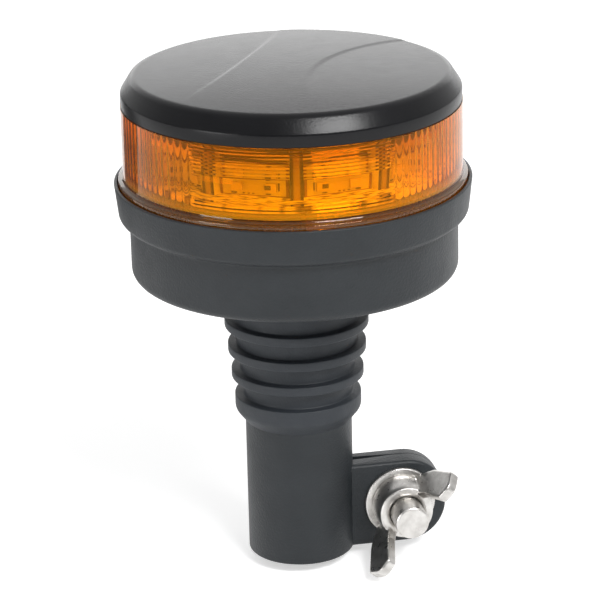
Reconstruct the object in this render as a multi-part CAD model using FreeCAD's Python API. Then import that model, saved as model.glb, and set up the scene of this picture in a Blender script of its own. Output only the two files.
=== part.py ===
import FreeCAD, Part
import math
import os

# LED warning light on a flexible ribbed neck, clamped on an upright pole.
# Millimetres, +Z up, origin in the pole socket's mouth on the pole's axis.
# The clamp ears point to +X, and the wing nut is on their -Y side.

# Pole socket
pole_diameter = 24.0
pole_clearance = 0.1
tube_wall = 5.9
tube_height = 56.5
plug_depth = 11.5
plug_wall = 3.5
web_thickness = 3.0
chamber_depth = 4.0
chamber_relief = 0.6

# Clamp ears with the slot between them
ear_height = 29.8
ear_corner_share = 0.456
ear_front_thickness = 5.8
ear_back_thickness = 3.7
ear_edge_chamfer = 1.2
bolt_reach = 15.1
bolt_rise = 15.6
ear_beyond_bolt = 16.4
slot_at_tube = 2.6
slot_at_tip = 0.4
slot_above_ears = 4.0

# Clamp bolt, washer and wing nut
bolt_diameter = 11.2
bolt_hole_gap = 0.3
bolt_overrun = 8.8
bolt_head_diameter = 23.0
bolt_head_height = 5.0
bolt_head_chamfer = 2.2
square_neck_gap = 0.1
washer_diameter = 24.5
washer_thickness = 1.6
washer_hole_gap = 0.25
nut_height = 9.5
nut_base_diameter = 20.4
nut_top_diameter = 18.4
nut_thread_gap = 0.05
wing_corners = ((11.6, 1.0, 3.0), (17.4, 7.6, 8.0), (22.4, 19.4, 1.6),
                (18.6, 25.2, 3.0), (13.5, 24.4, 1.0), (9.4, 12.6, 4.0))
wing_thickness = 3.5
wing_angle = 50.2

# Contact plunger that meets the pole's end
carrier_gap = 0.2
carrier_recess = 1.5
carrier_top_wall = 1.2
plunger_diameter = 6.0
plunger_flange = 1.0
plunger_flange_thickness = 1.5
plunger_gap = 0.05
plunger_reach = 3.5
spring_wire = 0.7
spring_turns = 4
spring_steps = 10
spring_side_gap = 0.2

# Ribbed rubber neck
collar_overlap = 8.7
collar_height = 9.4
collar_taper_height = 4.2
collar_wall = 3.3
neck_taper = 0.105
ring_count = 3
ring_pitch = 9.1
ring_thickness = 3.1
ring_depth = 2.9
top_groove = 11.6
neck_flange_radius = 27.7
neck_flange_thickness = 4.5

# Inner lead
lead_diameter = 5.0
lead_gap = 0.2

# Base housing
body_radius = 54.2
body_height = 19.8
body_corner_round = 3.3
floor_thickness = 3.0
wall_thickness = 2.6
rim_step = 3.4
rim_step_rise = 0.9
rim_draft = 1.3
rim_height = 12.7
lip_thickness = 1.2
seat_depth = 3.1

# Lens with its foot and inner flutes
foot_gap = 0.3
foot_thickness = 4.5
foot_reach = 1.6
foot_sweep_height = 1.5
lens_height = 29.0
lens_wall = 2.6
flute_depth = 0.6
flute_pitch_angle = 3.0
window_half_angle = 36.0

# Top cap
cap_setback = 0.2
cap_side_height = 4.2
shoulder_height = 5.6
shoulder_run = 3.6
crown_edge_round = 3.0
crown_rise = 1.7
cap_roof = 2.6
cap_spigot_gap = 0.05
cap_spigot_height = 1.2
cap_spigot_wall = 2.3
panel_left = ((-32.0, -30.0), (-16.6, 7.0), (-4.4, 50.5))
panel_right = ((7.6, -30.0), (13.3, 7.2), (46.0, 36.5))
panel_tilt_shift = 14.0
panel_drop = 0.4
view_turn = -11.0

# White deck, LED carrier, boards and chips
plate_side_gap = 2.0
board_count = 10
carrier_side_gap = 5.8
drum_wall = 2.4
drum_ledge = 2.6
deck_thickness = 2.0
deck_rise = 2.1
drum_height = 11.6
led_board_height = 8.2
led_board_side_gap = 2.6
led_board_thickness = 1.6
chips_per_board = 2
chip_side = 3.6
chip_thickness = 1.1
corner_post_width = 4.2
corner_post_depth = 4.0
corner_post_root = 0.4
corner_post_overrun = 2.8
leg_side = 9.0
drum_turn = -99.4

# Driver board and what it carries
driver_length = 50.0
driver_width = 34.0
driver_sheet = 1.6
driver_rise = 7.0
post_side = 6.0
post_spacing = 43.0
capacitor_diameter = 8.0
capacitor_height = 10.0
capacitor_pitch = 10.0
inductor_side = 11.0
inductor_height = 6.5
driver_chip_side = 6.0
driver_chip_height = 1.8
connector_length = 10.0
connector_width = 8.0
connector_height = 4.0

# Screws
screw_gap = 0.1
base_screw_diameter = 4.0
base_screw_head_diameter = 7.4
base_screw_head_height = 2.6
leg_inset = 2.5
base_screw_count = 3
base_screw_angle = 30.0
base_screw_grip = 9.0
neck_screw_circle = 19.0
neck_screw_count = 3
neck_screw_angle = 90.0
neck_screw_grip = 3.4
board_screw_diameter = 3.0
board_screw_head_diameter = 5.4
board_screw_head_height = 1.8
board_screw_grip = 5.0

# How many flats stand for one rounded corner of a turned shape
corner_flat_count = 2

# Radii and heights that follow from the sizes above
bore_radius = pole_diameter / 2 + pole_clearance
tube_radius = bore_radius + tube_wall
plug_radius = tube_radius - plug_wall
bolt_x = tube_radius + bolt_reach
bolt_z = bolt_rise
ear_front = slot_at_tube / 2 + ear_front_thickness
ear_back = slot_at_tube / 2 + ear_back_thickness
ear_span = ear_front + ear_back
ear_end = bolt_x + ear_beyond_bolt
ear_corner_round = ear_height * ear_corner_share
bolt_radius = bolt_diameter / 2
nut_seat = ear_front + washer_thickness
bolt_end = nut_seat + nut_height + bolt_overrun

web_top = tube_height - plug_depth
socket_depth = web_top - web_thickness
grip_depth = socket_depth - chamber_depth
chamber_radius = bore_radius + chamber_relief
carrier_top = tube_height - carrier_recess
plunger_radius = plunger_diameter / 2
flange_radius = plunger_radius + plunger_flange
flange_top = web_top + plunger_flange_thickness
room_radius = flange_radius + spring_side_gap
room_top = carrier_top - carrier_top_wall

collar_bottom = tube_height - collar_overlap
collar_radius = tube_radius + collar_wall
collar_top = collar_bottom + collar_height
rings_top = collar_top + ring_count * ring_pitch
flange_bottom = rings_top + top_groove
neck_top = flange_bottom + neck_flange_thickness
bend_high = collar_top + 2 * ring_pitch
bend_low = bend_high - ring_thickness
bend_height = (bend_low + bend_high) / 2
lead_radius = lead_diameter / 2
lead_way = lead_radius + lead_gap

housing_bottom = neck_top
floor_top = housing_bottom + floor_thickness
rim_bottom = housing_bottom + body_height
rim_top = rim_bottom + rim_height
rim_low_radius = body_radius + rim_step
rim_radius = rim_low_radius + rim_draft
lip_radius = rim_radius - lip_thickness
housing_inner_radius = body_radius - wall_thickness
foot_bottom = rim_top - seat_depth
foot_top = foot_bottom + foot_thickness

foot_radius = lip_radius - foot_gap
lens_radius = foot_radius - foot_reach
lens_inner_radius = lens_radius - lens_wall
lens_top = foot_bottom + lens_height
flute_radius = lens_inner_radius - flute_depth

cap_radius = lens_radius - cap_setback
shoulder_bottom = lens_top + cap_side_height
shoulder_top = shoulder_bottom + shoulder_height
crown_radius = cap_radius - shoulder_run
crown_top = shoulder_top + crown_rise
roof_bottom = shoulder_top - cap_roof
cap_spigot_radius = flute_radius - cap_spigot_gap
cap_inner_radius = cap_spigot_radius - cap_spigot_wall

plate_radius = flute_radius - plate_side_gap
deck_radius = flute_radius - carrier_side_gap
deck_bottom = foot_top + deck_rise
deck_top = deck_bottom + deck_thickness
drum_top = deck_top + drum_height
half_side_angle = math.pi / board_count
board_corner_radius = deck_radius - drum_ledge
face_distance = board_corner_radius * math.cos(half_side_angle) - led_board_thickness
face_width = 2 * board_corner_radius * math.sin(half_side_angle)
drum_radius = face_distance / math.cos(half_side_angle)
base_screw_circle = drum_radius - leg_inset

driver_bottom = floor_top + driver_rise
driver_top = driver_bottom + driver_sheet
connector_bottom = driver_bottom - connector_height

origin = FreeCAD.Vector(0, 0, 0)
axis_x = FreeCAD.Vector(1, 0, 0)
axis_z = FreeCAD.Vector(0, 0, 1)


def outline(corners, flats=0):
    """Closed wire through (u, v) or (u, v, radius) corners, rounded by arcs or by a number of flats."""
    starts = []
    ends = []
    bends = []
    count = len(corners)
    for index, corner in enumerate(corners):
        here = FreeCAD.Vector(corner[0], corner[1], 0)
        if len(corner) < 3:
            starts.append(here)
            ends.append(here)
            bends.append([])
            continue
        radius = corner[2]
        before = corners[index - 1]
        after = corners[(index + 1) % count]
        back = (FreeCAD.Vector(before[0], before[1], 0) - here).normalize()
        ahead = (FreeCAD.Vector(after[0], after[1], 0) - here).normalize()
        half = back.getAngle(ahead) / 2
        middle = (back + ahead).normalize()
        starts.append(here + back * (radius / math.tan(half)))
        ends.append(here + ahead * (radius / math.tan(half)))
        crest = here + middle * (radius / math.sin(half) - radius)
        arc = Part.Arc(starts[-1], crest, ends[-1]).toShape()
        if flats:
            stops = arc.discretize(flats + 1)
            bends.append([Part.makeLine(stops[step], stops[step + 1]) for step in range(flats)])
        else:
            bends.append([arc])
    loop = []
    for index in range(count):
        loop += bends[index]
        following = starts[(index + 1) % count]
        if (following - ends[index]).Length > 1e-6:
            loop.append(Part.makeLine(ends[index], following))
    return Part.Wire(loop)


def turned(corners):
    """Solid of revolution about Z from corners given as (radius, height, rounding)."""
    face = Part.Face(outline(corners, corner_flat_count))
    face.rotate(origin, axis_x, 90)
    return face.revolve(origin, axis_z, 360)


def upright_plate(corners, thickness):
    """Flat plate in the XZ plane, centred on Y, from corners given as (x, z, rounding)."""
    face = Part.Face(outline(corners))
    face.rotate(origin, axis_x, 90)
    face.translate(FreeCAD.Vector(0, thickness / 2, 0))
    return face.extrude(FreeCAD.Vector(0, -thickness, 0))


def disc(radius, low, high):
    return Part.makeCylinder(radius, high - low, FreeCAD.Vector(0, 0, low), axis_z)


def prism(radius, sides, low, high):
    """Regular prism on the Z axis with its first corner towards +X."""
    step = 2 * math.pi / sides
    corners = [(radius * math.cos(step * index), radius * math.sin(step * index)) for index in range(sides)]
    return at_height(Part.Face(outline(corners)).extrude(axis_z * (high - low)), low)


def box(length, width, height, low):
    """Box centred on X and Y that starts at height low."""
    return Part.makeBox(length, width, height, FreeCAD.Vector(-length / 2, -width / 2, low))


def at_height(shape, height):
    copy = shape.copy()
    copy.translate(FreeCAD.Vector(0, 0, height))
    return copy


def turn(shape, degrees):
    copy = shape.copy()
    copy.rotate(origin, axis_z, degrees)
    return copy


def around(shape, distance, count, first=0.0):
    """Copies of a shape on a circle, as a list of solids."""
    copies = []
    for index in range(count):
        copy = shape.copy()
        copy.translate(FreeCAD.Vector(distance, 0, 0))
        copies.append(turn(copy, first + index * 360.0 / count))
    return copies


def on_bolt(shape):
    """Place a shape made along Z on the clamp bolt: its Z then points out of the front ear."""
    copy = shape.copy()
    copy.rotate(origin, axis_x, 90)
    copy.translate(FreeCAD.Vector(bolt_x, 0, bolt_z))
    return copy


def screw(diameter, head_diameter, head_height, length):
    """Hexagon-head screw with its head on top: the head's seat is at height 0."""
    return prism(head_diameter / 2, 6, 0, head_height).fuse(disc(diameter / 2, -length, 0))


def crown_height(radius):
    """Height of the cap's gently domed top at a distance from its axis."""
    return crown_top - crown_rise * (radius / crown_radius) ** 2


def save(name, shape):
    shape.exportStep("parts/" + name + ".step")


os.makedirs("parts", exist_ok=True)

# Pole socket: a split tube with two ears that the bolt draws together
tube = turned([(bore_radius, 0), (tube_radius, 0), (tube_radius, tube_height), (plug_radius, tube_height),
               (plug_radius, web_top), (plunger_radius + plunger_gap, web_top),
               (plunger_radius + plunger_gap, socket_depth), (chamber_radius, socket_depth),
               (chamber_radius, grip_depth), (bore_radius, grip_depth)])
ears = upright_plate([(0, 0), (ear_end, 0, ear_corner_round), (ear_end, ear_height, ear_corner_round),
                      (0, ear_height)], ear_span)
ears.translate(FreeCAD.Vector(0, (ear_back - ear_front) / 2, 0))
ear_edges = [edge for edge in ears.Edges if edge.BoundBox.YLength < 1e-6 and edge.BoundBox.XMax > 1e-6]
ears = ears.makeChamfer(ear_edge_chamfer, ear_edges)
ears = ears.cut(disc(tube_radius - tube_wall / 2, -1, ear_height + 1))
slot_start = bore_radius - tube_wall
slot_end = ear_end + 1
slot_face = Part.Face(outline([(slot_start, -slot_at_tube / 2), (tube_radius, -slot_at_tube / 2),
                               (bolt_x, -slot_at_tip / 2), (slot_end, -slot_at_tip / 2),
                               (slot_end, slot_at_tip / 2), (bolt_x, slot_at_tip / 2),
                               (tube_radius, slot_at_tube / 2), (slot_start, slot_at_tube / 2)]))
slot = at_height(slot_face.extrude(axis_z * (ear_height + slot_above_ears + 1)), -1)
square_side = bolt_diameter + 2 * square_neck_gap
bolt_hole = on_bolt(disc(bolt_radius + bolt_hole_gap, 0, ear_span))
square_hole = on_bolt(box(square_side, square_side, ear_span, -ear_span))
save("clamp_socket", tube.fuse(ears).removeSplitter().cut(slot).cut(bolt_hole).cut(square_hole))

# Clamp bolt: domed head and square neck at the back, plain round shank to the front
head_radius = bolt_head_diameter / 2
head_low = -ear_back - bolt_head_height
bolt_head = turned([(0, head_low), (head_radius - bolt_head_chamfer, head_low),
                    (head_radius, head_low + bolt_head_chamfer), (head_radius, -ear_back), (0, -ear_back)])
bolt_neck = box(bolt_diameter, bolt_diameter, ear_back_thickness, -ear_back)
bolt_shank = disc(bolt_radius, -ear_back, bolt_end)
save("clamp_bolt", on_bolt(bolt_shank.fuse(bolt_neck).fuse(bolt_head).removeSplitter()))

washer_hole = bolt_radius + washer_hole_gap
save("front_washer", on_bolt(disc(washer_diameter / 2, ear_front, nut_seat).cut(disc(washer_hole, 0, bolt_end))))

# Wing nut: tapered hub with two wings that rise steeply towards their blunt tips
nut_bore = bolt_radius + nut_thread_gap
hub = turned([(nut_bore, 0), (nut_base_diameter / 2, 0), (nut_top_diameter / 2, nut_height), (nut_bore, nut_height)])
wing_root = (nut_bore + nut_top_diameter / 2) / 2
wing = upright_plate([(wing_root, wing_corners[0][1]), *wing_corners, (wing_root, nut_height)], wing_thickness)
wing_nut = hub.fuse(turn(wing, wing_angle)).fuse(turn(wing, wing_angle + 180))
wing_nut = wing_nut.cut(disc(nut_bore, 0, bolt_end)).removeSplitter()
save("wing_nut", on_bolt(at_height(wing_nut, nut_seat)))

# Contacts: an insulating cup on the socket's web, and a sprung plunger that looks through the web
carrier_radius = plug_radius - carrier_gap
save("contact_carrier", disc(carrier_radius, web_top, carrier_top).cut(disc(room_radius, web_top, room_top)))
plunger_tip = socket_depth - plunger_reach
save("contact_plunger", disc(plunger_radius, plunger_tip, web_top).fuse(disc(flange_radius, web_top, flange_top)))

# Coil spring over the plunger: square wire, as one closed shell of flat facets
coil_outer = flange_radius
coil_inner = flange_radius - spring_wire
coil_rise = (room_top - flange_top - spring_wire) / (spring_turns * spring_steps)
stations = []
for step in range(spring_turns * spring_steps + 1):
    angle = 2 * math.pi * step / spring_steps
    low = flange_top + coil_rise * step
    corners = [(coil_inner, low), (coil_outer, low), (coil_outer, low + spring_wire), (coil_inner, low + spring_wire)]
    stations.append([FreeCAD.Vector(r * math.cos(angle), r * math.sin(angle), z) for r, z in corners])
facets = [Part.Face(Part.makePolygon(end + end[:1])) for end in (stations[0], stations[-1])]
for here, after in zip(stations, stations[1:]):
    for side in range(4):
        near = here[side]
        far = after[(side + 1) % 4]
        for third in (here[(side + 1) % 4], after[side]):
            facets.append(Part.Face(Part.makePolygon([near, far, third, near])))
save("plunger_spring", Part.Solid(Part.Shell(facets)))

# Rubber neck: one ribbed moulding, divided below and above its middle ring, where it bends
radius = collar_radius
neck_outside = [(tube_radius, collar_bottom), (radius, collar_bottom + collar_taper_height), (radius, collar_top),
                (radius - ring_depth, collar_top)]
for index in range(ring_count):
    ring_top = collar_top + (index + 1) * ring_pitch
    ring_bottom = ring_top - ring_thickness
    neck_outside.append((radius - ring_depth, ring_bottom))
    radius += neck_taper * ring_pitch
    neck_outside += [(radius, ring_bottom), (radius, ring_top), (radius - ring_depth, ring_top)]
neck_outside += [(radius - ring_depth, flange_bottom), (neck_flange_radius, flange_bottom),
                 (neck_flange_radius, neck_top)]
neck = turned(neck_outside + [(lead_way, neck_top), (lead_way, tube_height), (tube_radius, tube_height)])
base_screw_radius = base_screw_diameter / 2
neck_screw_way = disc(base_screw_radius + screw_gap, neck_top - neck_screw_grip, floor_top + 1)
neck_screw_ways = around(neck_screw_way, neck_screw_circle, neck_screw_count, neck_screw_angle)
save("neck_lower", neck.common(disc(neck_flange_radius, 0, bend_low)).removeSplitter())
save("neck_ring", neck.common(disc(neck_flange_radius, bend_low, bend_high)).removeSplitter())
neck_upper = neck.common(disc(neck_flange_radius, bend_high, neck_top)).removeSplitter()
save("neck_upper", neck_upper.cut(Part.Compound(neck_screw_ways)))

# Inner lead from the contacts up to the driver board, in two lengths that meet at the bend
save("cable_lower", disc(lead_radius, carrier_top, bend_height))
save("cable_upper", disc(lead_radius, bend_height, connector_bottom))

neck_screw = screw(base_screw_diameter, base_screw_head_diameter, base_screw_head_height,
                   floor_thickness + neck_screw_grip - screw_gap)
save("neck_screws", Part.Compound(around(at_height(neck_screw, floor_top), neck_screw_circle, neck_screw_count,
                                         neck_screw_angle)))

# Base housing: a cup with a wide rim, a sunk seat for the lens and two posts for the driver board
housing = turned([(lead_way, housing_bottom), (body_radius, housing_bottom, body_corner_round),
                  (body_radius, rim_bottom), (rim_low_radius, rim_bottom + rim_step_rise),
                  (rim_radius, rim_top), (lip_radius, rim_top), (lip_radius, foot_bottom),
                  (housing_inner_radius, foot_bottom), (housing_inner_radius, floor_top), (lead_way, floor_top)])
post = box(post_side, post_side, driver_rise, floor_top)
board_screw_radius = board_screw_diameter / 2
board_screw_way = disc(board_screw_radius + screw_gap, driver_bottom - board_screw_grip, driver_top + 1)
for copy in around(post.cut(board_screw_way), post_spacing / 2, 2):
    housing = housing.fuse(copy)
base_screw_way = disc(base_screw_radius + screw_gap, housing_bottom - 1, floor_top + base_screw_grip)
base_screw_ways = around(base_screw_way, base_screw_circle, base_screw_count, base_screw_angle)
save("base_housing", housing.removeSplitter().cut(Part.Compound(neck_screw_ways + base_screw_ways)))

base_screw = screw(base_screw_diameter, base_screw_head_diameter, base_screw_head_height,
                   floor_thickness + base_screw_grip - screw_gap)
base_screw.rotate(origin, axis_x, 180)
save("base_screws", Part.Compound(around(at_height(base_screw, housing_bottom), base_screw_circle, base_screw_count,
                                         base_screw_angle)))

# Driver board on its posts, with the parts soldered to it
board_screw_ways = around(board_screw_way, post_spacing / 2, 2)
driver_board = box(driver_length, driver_width, driver_sheet, driver_bottom)
save("driver_board", driver_board.cut(Part.Compound(board_screw_ways)))
board_screw = screw(board_screw_diameter, board_screw_head_diameter, board_screw_head_height,
                    driver_sheet + board_screw_grip - screw_gap)
save("board_screws", Part.Compound(around(at_height(board_screw, driver_top), post_spacing / 2, 2)))

row_distance = driver_width / 4
capacitors = around(disc(capacitor_diameter / 2, driver_top, driver_top + capacitor_height), capacitor_pitch / 2, 2)
for capacitor in capacitors:
    capacitor.translate(FreeCAD.Vector(0, row_distance, 0))
save("filter_capacitors", Part.Compound(capacitors))
inductor = box(inductor_side, inductor_side, inductor_height, driver_top)
inductor.translate(FreeCAD.Vector(0, -row_distance, 0))
save("power_inductor", inductor)
driver_chips = around(box(driver_chip_side, driver_chip_side, driver_chip_height, driver_top), post_spacing / 4, 2)
for chip in driver_chips:
    chip.translate(FreeCAD.Vector(0, -row_distance, 0))
save("driver_chips", Part.Compound(driver_chips))
save("wire_connector", box(connector_length, connector_width, connector_height, connector_bottom))

# White deck under the lamps: a round plate on three legs that stand on the housing's floor
deck = disc(plate_radius, deck_bottom, deck_top)
deck = deck.cut(turn(prism(drum_radius - drum_wall, board_count, deck_bottom, deck_top), drum_turn))
leg = box(leg_side, leg_side, deck_bottom - floor_top, floor_top)
for copy in around(leg, base_screw_circle, base_screw_count, base_screw_angle):
    deck = deck.fuse(copy)
save("reflector_deck", deck.removeSplitter().cut(Part.Compound(base_screw_ways)))

# LED carrier: a flat-sided drum on the deck, closed by a plate with the same number of sides
drum = prism(drum_radius, board_count, deck_top, drum_top)
drum = drum.fuse(prism(deck_radius, board_count, drum_top, drum_top + deck_thickness))
drum = drum.cut(prism(drum_radius - drum_wall, board_count, deck_top, drum_top))
corner_post_height = drum_height + deck_thickness + corner_post_overrun
corner_post = box(corner_post_depth + corner_post_root, corner_post_width, corner_post_height, deck_top)
for copy in around(corner_post, drum_radius + (corner_post_depth - corner_post_root) / 2, board_count):
    drum = drum.fuse(copy)
save("led_carrier", turn(drum.removeSplitter(), drum_turn))

led_board_width = face_width - 2 * led_board_side_gap
led_board = box(led_board_thickness, led_board_width, led_board_height, deck_top)
board_turn = drum_turn + math.degrees(half_side_angle)
board_distance = face_distance + led_board_thickness / 2
save("led_boards", Part.Compound(around(led_board, board_distance, board_count, board_turn)))
chips = []
for index in range(chips_per_board):
    chip = box(chip_thickness, chip_side, chip_side, deck_top + (led_board_height - chip_side) / 2)
    chip.translate(FreeCAD.Vector(0, ((index + 0.5) / chips_per_board - 0.5) * led_board_width, 0))
    chips += around(chip, face_distance + led_board_thickness + chip_thickness / 2, board_count, board_turn)
save("led_chips", Part.Compound(chips))

# Lens: amber ring with a foot flange, clear windows to front and back and flutes on both sides
core_edges = []
flute_sector = 180.0 - 2 * window_half_angle
flute_steps = 2 * int(round(flute_sector / flute_pitch_angle))
for side in (0, 180):
    first = view_turn - 90.0 + window_half_angle + side
    marks = []
    for index in range(flute_steps + 1):
        angle = math.radians(first + index * flute_sector / flute_steps)
        reach = flute_radius if index % 2 else lens_inner_radius
        marks.append(FreeCAD.Vector(reach * math.cos(angle), reach * math.sin(angle), 0))
    core_edges += [Part.makeLine(marks[index], marks[index + 1]) for index in range(flute_steps)]
    ahead = [math.radians(first + flute_sector + share * window_half_angle) for share in (1, 2)]
    stops = [FreeCAD.Vector(lens_inner_radius * math.cos(a), lens_inner_radius * math.sin(a), 0) for a in ahead]
    core_edges.append(Part.Arc(marks[-1], *stops).toShape())
core = at_height(Part.Face(Part.Wire(core_edges)).extrude(axis_z * lens_height), foot_bottom)
lens = turned([(0, foot_bottom), (foot_radius, foot_bottom), (foot_radius, foot_top),
               (lens_radius, foot_top + foot_sweep_height), (lens_radius, lens_top), (0, lens_top)])
save("lens", lens.cut(core))

# Top cap: low drum with a sloping shoulder, a domed top and a shallow swept panel in it
dome_mark = crown_radius * 0.6
cap = turned([(cap_inner_radius, lens_top - cap_spigot_height), (cap_spigot_radius, lens_top - cap_spigot_height),
              (cap_spigot_radius, lens_top), (cap_radius, lens_top), (cap_radius, shoulder_bottom),
              (crown_radius, shoulder_top, crown_edge_round), (dome_mark, crown_height(dome_mark)), (0, crown_top),
              (0, roof_bottom), (cap_inner_radius, roof_bottom)])
left = [FreeCAD.Vector(x, y, 0) for x, y in panel_left]
right = [FreeCAD.Vector(x, y, 0) for x, y in panel_right]
beyond = right[-1] + FreeCAD.Vector(0, cap_radius, 0)
panel_edges = [Part.Arc(*left).toShape(), Part.makeLine(left[-1], beyond), Part.makeLine(beyond, right[-1]),
               Part.Arc(*reversed(right)).toShape(), Part.makeLine(right[0], left[0])]
panel = at_height(Part.Face(Part.Wire(panel_edges)).extrude(axis_z * shoulder_height), roof_bottom)
floor_reach = crown_radius + 2 * panel_tilt_shift
panel_floor = turned([(0, roof_bottom), (floor_reach, roof_bottom), (floor_reach, crown_height(floor_reach)),
                      (crown_radius, shoulder_top), (dome_mark, crown_height(dome_mark)), (0, crown_top)])
panel_floor.translate(FreeCAD.Vector(0, -panel_tilt_shift, -panel_drop))
save("top_cap", cap.cut(turn(panel.cut(panel_floor), view_turn)).removeSplitter())
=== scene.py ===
import math

import bmesh
import bpy
from mathutils import Matrix, Vector


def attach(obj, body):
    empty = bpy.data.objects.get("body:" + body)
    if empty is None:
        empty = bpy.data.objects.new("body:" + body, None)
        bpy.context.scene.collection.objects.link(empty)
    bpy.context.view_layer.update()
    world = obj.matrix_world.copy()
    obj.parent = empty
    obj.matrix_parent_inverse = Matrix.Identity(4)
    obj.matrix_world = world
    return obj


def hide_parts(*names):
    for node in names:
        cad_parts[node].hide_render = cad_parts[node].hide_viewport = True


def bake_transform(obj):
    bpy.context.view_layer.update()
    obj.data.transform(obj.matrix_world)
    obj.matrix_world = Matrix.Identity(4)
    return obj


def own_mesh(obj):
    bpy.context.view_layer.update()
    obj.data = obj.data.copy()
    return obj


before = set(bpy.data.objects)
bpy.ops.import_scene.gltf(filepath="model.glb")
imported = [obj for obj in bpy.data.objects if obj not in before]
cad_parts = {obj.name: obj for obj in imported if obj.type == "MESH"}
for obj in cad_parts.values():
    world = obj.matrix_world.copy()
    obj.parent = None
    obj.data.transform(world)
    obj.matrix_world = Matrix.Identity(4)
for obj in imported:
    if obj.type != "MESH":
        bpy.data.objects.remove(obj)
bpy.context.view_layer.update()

# Pole socket: a split tube with two clamp ears, one moulding of glass-filled nylon.
# The mould leaves a grained satin skin and soft outer edges; a slide in the mould forms the ears' slot.
# Lengths are in millimetres; times mm, they are in metres.
mm = 0.001
same_place = 0.01
bore_radius = 12.1
bore_round = 1.0
tube_radius = 18.0
tube_height = 56.5
tube_sides = 128
mouth_round = 0.7
plug_radius = 14.5
web_bottom = 42.0
web_top = 45.0
plunger_way = 3.05
chamber_radius = 12.7
grip_depth = 38.0
ear_root = 15.0
ear_low = 0.02
ear_high = 29.78
ear_end = 49.48
ear_corner = 13.6
ear_steps = 16
ear_front = 7.1
ear_back = 5.0
ear_round = 1.3
plate_corner_steps = 10
bolt_x = 33.1
bolt_z = 15.6
bolt_hole_radius = 5.9
bolt_hole_sides = 48
past_ears = 1.0
slot_start = 6.2
slot_end = 60.0
slot_bottom = -1.0
slot_top = 33.8
slot_at_tube = 2.6
slot_at_tip = 0.4
noise_low = 0.3
noise_high = 0.7
drift_low = 0.2
drift_high = 0.8
drift_patches = 70
handled_patches = 160
black_dark = (0.0112, 0.0139, 0.0163, 1.0)
black_light = (0.0172, 0.0206, 0.0236, 1.0)


def select_only(piece):
    """In object mode, leave one object selected and active."""
    bpy.ops.object.select_all(action="DESELECT")
    piece.select_set(True)
    bpy.context.view_layer.objects.active = piece


def settle(piece):
    """Put an object's place, turn and size into its mesh."""
    select_only(piece)
    bpy.ops.object.transform_apply(location=True, rotation=True, scale=True)


def added(name):
    """Name the object that was just added and settle it."""
    piece = bpy.context.object
    piece.name = name
    settle(piece)
    return piece


def start_editing(piece):
    """Open one object in edit mode."""
    select_only(piece)
    bpy.ops.object.mode_set(mode="EDIT")


def choose_corners(piece, wanted):
    """In edit mode, select just the corners whose place, in millimetres, passes a test."""
    bpy.ops.mesh.select_mode(type="VERT")
    bpy.ops.mesh.select_all(action="DESELECT")
    shape = bmesh.from_edit_mesh(piece.data)
    for corner in shape.verts:
        corner.select_set(wanted(corner.co / mm))
    bmesh.update_edit_mesh(piece.data)


def choose_edges(piece, wanted):
    """In edit mode, select just the edges whose two ends, in millimetres, pass a test."""
    bpy.ops.mesh.select_mode(type="EDGE")
    bpy.ops.mesh.select_all(action="DESELECT")
    shape = bmesh.from_edit_mesh(piece.data)
    for edge in shape.edges:
        edge.select_set(wanted([corner.co / mm for corner in edge.verts]))
    bmesh.update_edit_mesh(piece.data)


def choose_open_edges():
    """In edit mode, select just the edges at which a shell is still open."""
    bpy.ops.mesh.select_mode(type="EDGE")
    bpy.ops.mesh.select_all(action="DESELECT")
    bpy.ops.mesh.select_non_manifold()


def finish_shell():
    """Turn every face outwards and leave edit mode."""
    bpy.ops.mesh.select_all(action="SELECT")
    bpy.ops.mesh.normals_make_consistent(inside=False)
    bpy.ops.object.mode_set(mode="OBJECT")


def close_pole(rise):
    """Draw the selected ring together to one point on the axis."""
    bpy.ops.mesh.extrude_edges_move(TRANSFORM_OT_translate={"value": (0, 0, rise * mm)})
    bpy.ops.mesh.merge(type="CENTER")


def turned_piece(name, stations, sides):
    """A closed shell turned about Z through (radius, height) stations.
    Stations of radius 0 at both ends close it by poles; without them its ends meet, as in a ring."""
    rings = [station for station in stations if station[0] > 0]
    radius, height = rings[0]
    bpy.ops.object.select_all(action="DESELECT")
    bpy.ops.mesh.primitive_circle_add(vertices=sides, radius=radius * mm, location=(0, 0, height * mm))
    piece = added(name)
    start_editing(piece)
    bpy.ops.mesh.select_mode(type="EDGE")
    bpy.ops.mesh.select_all(action="SELECT")
    for next_radius, next_height in rings[1:]:
        rise = (0, 0, (next_height - height) * mm)
        bpy.ops.mesh.extrude_edges_move(TRANSFORM_OT_translate={"value": rise})
        grow = next_radius / radius
        bpy.ops.transform.resize(value=(grow, grow, 1), center_override=(0, 0, 0))
        radius, height = next_radius, next_height
    with_poles = stations[0][0] == 0
    if with_poles:
        close_pole(stations[-1][1] - height)
    choose_open_edges()
    if with_poles:
        close_pole(stations[0][1] - rings[0][1])
    else:
        bpy.ops.mesh.bridge_edge_loops()
    finish_shell()
    return piece


def round_turned_edges(piece, rounds, segments=3):
    """Round off turned edges, each given as (radius, height, rounding)."""
    start_editing(piece)
    for radius, height, rounding in rounds:
        def on_ring(ends):
            return all(abs(math.hypot(end.x, end.y) - radius) < same_place
                       and abs(end.z - height) < same_place for end in ends)
        choose_edges(piece, on_ring)
        bpy.ops.mesh.bevel(offset=rounding * mm, segments=segments, affect="EDGES")
    bpy.ops.object.mode_set(mode="OBJECT")


def apply_change(piece, kind, **settings):
    """Add one modifier with its settings and apply it."""
    change = piece.modifiers.new(kind.lower(), kind)
    for setting, value in settings.items():
        setattr(change, setting, value)
    select_only(piece)
    bpy.ops.object.modifier_apply(modifier=change.name)


def combine(piece, other, operation):
    """Join another shape to a piece or cut it out of the piece, and drop the other shape."""
    apply_change(piece, "BOOLEAN", operation=operation, solver="EXACT", object=other)
    bpy.data.objects.remove(other)


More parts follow.
